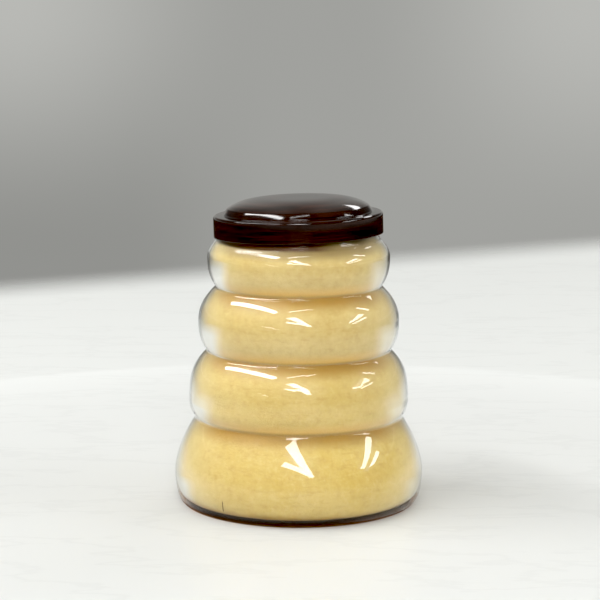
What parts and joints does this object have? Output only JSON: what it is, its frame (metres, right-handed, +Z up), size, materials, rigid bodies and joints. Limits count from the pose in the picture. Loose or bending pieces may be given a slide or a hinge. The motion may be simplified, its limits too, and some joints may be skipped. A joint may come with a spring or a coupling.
{
  "type": "honey jar",
  "caption": "Beehive-shaped clear jar with stepped bulging bands, filled with pale creamed honey and shut by a glossy dark brown domed screw cap.",
  "frame": {"origin": "middle of the jar's underside, on the surface it stands on", "axes": "+Z up along the jar's axis; the jar and the honey are turned about it, and the cap sits a little askew, up on the +X side and in front"},
  "size_m": [0.0876, 0.0876, 0.1082],
  "materials": {
    "clear_wall": "clear, glossy moulded plastic",
    "creamed_honey": "opaque set honey, fine grained, satin",
    "brown_cap": "glossy dark brown moulded plastic"
  },
  "bodies": {
    "root": {"jar": "clear_wall", "honey": "creamed_honey", "cap": "brown_cap"}
  },
  "joints": []
}
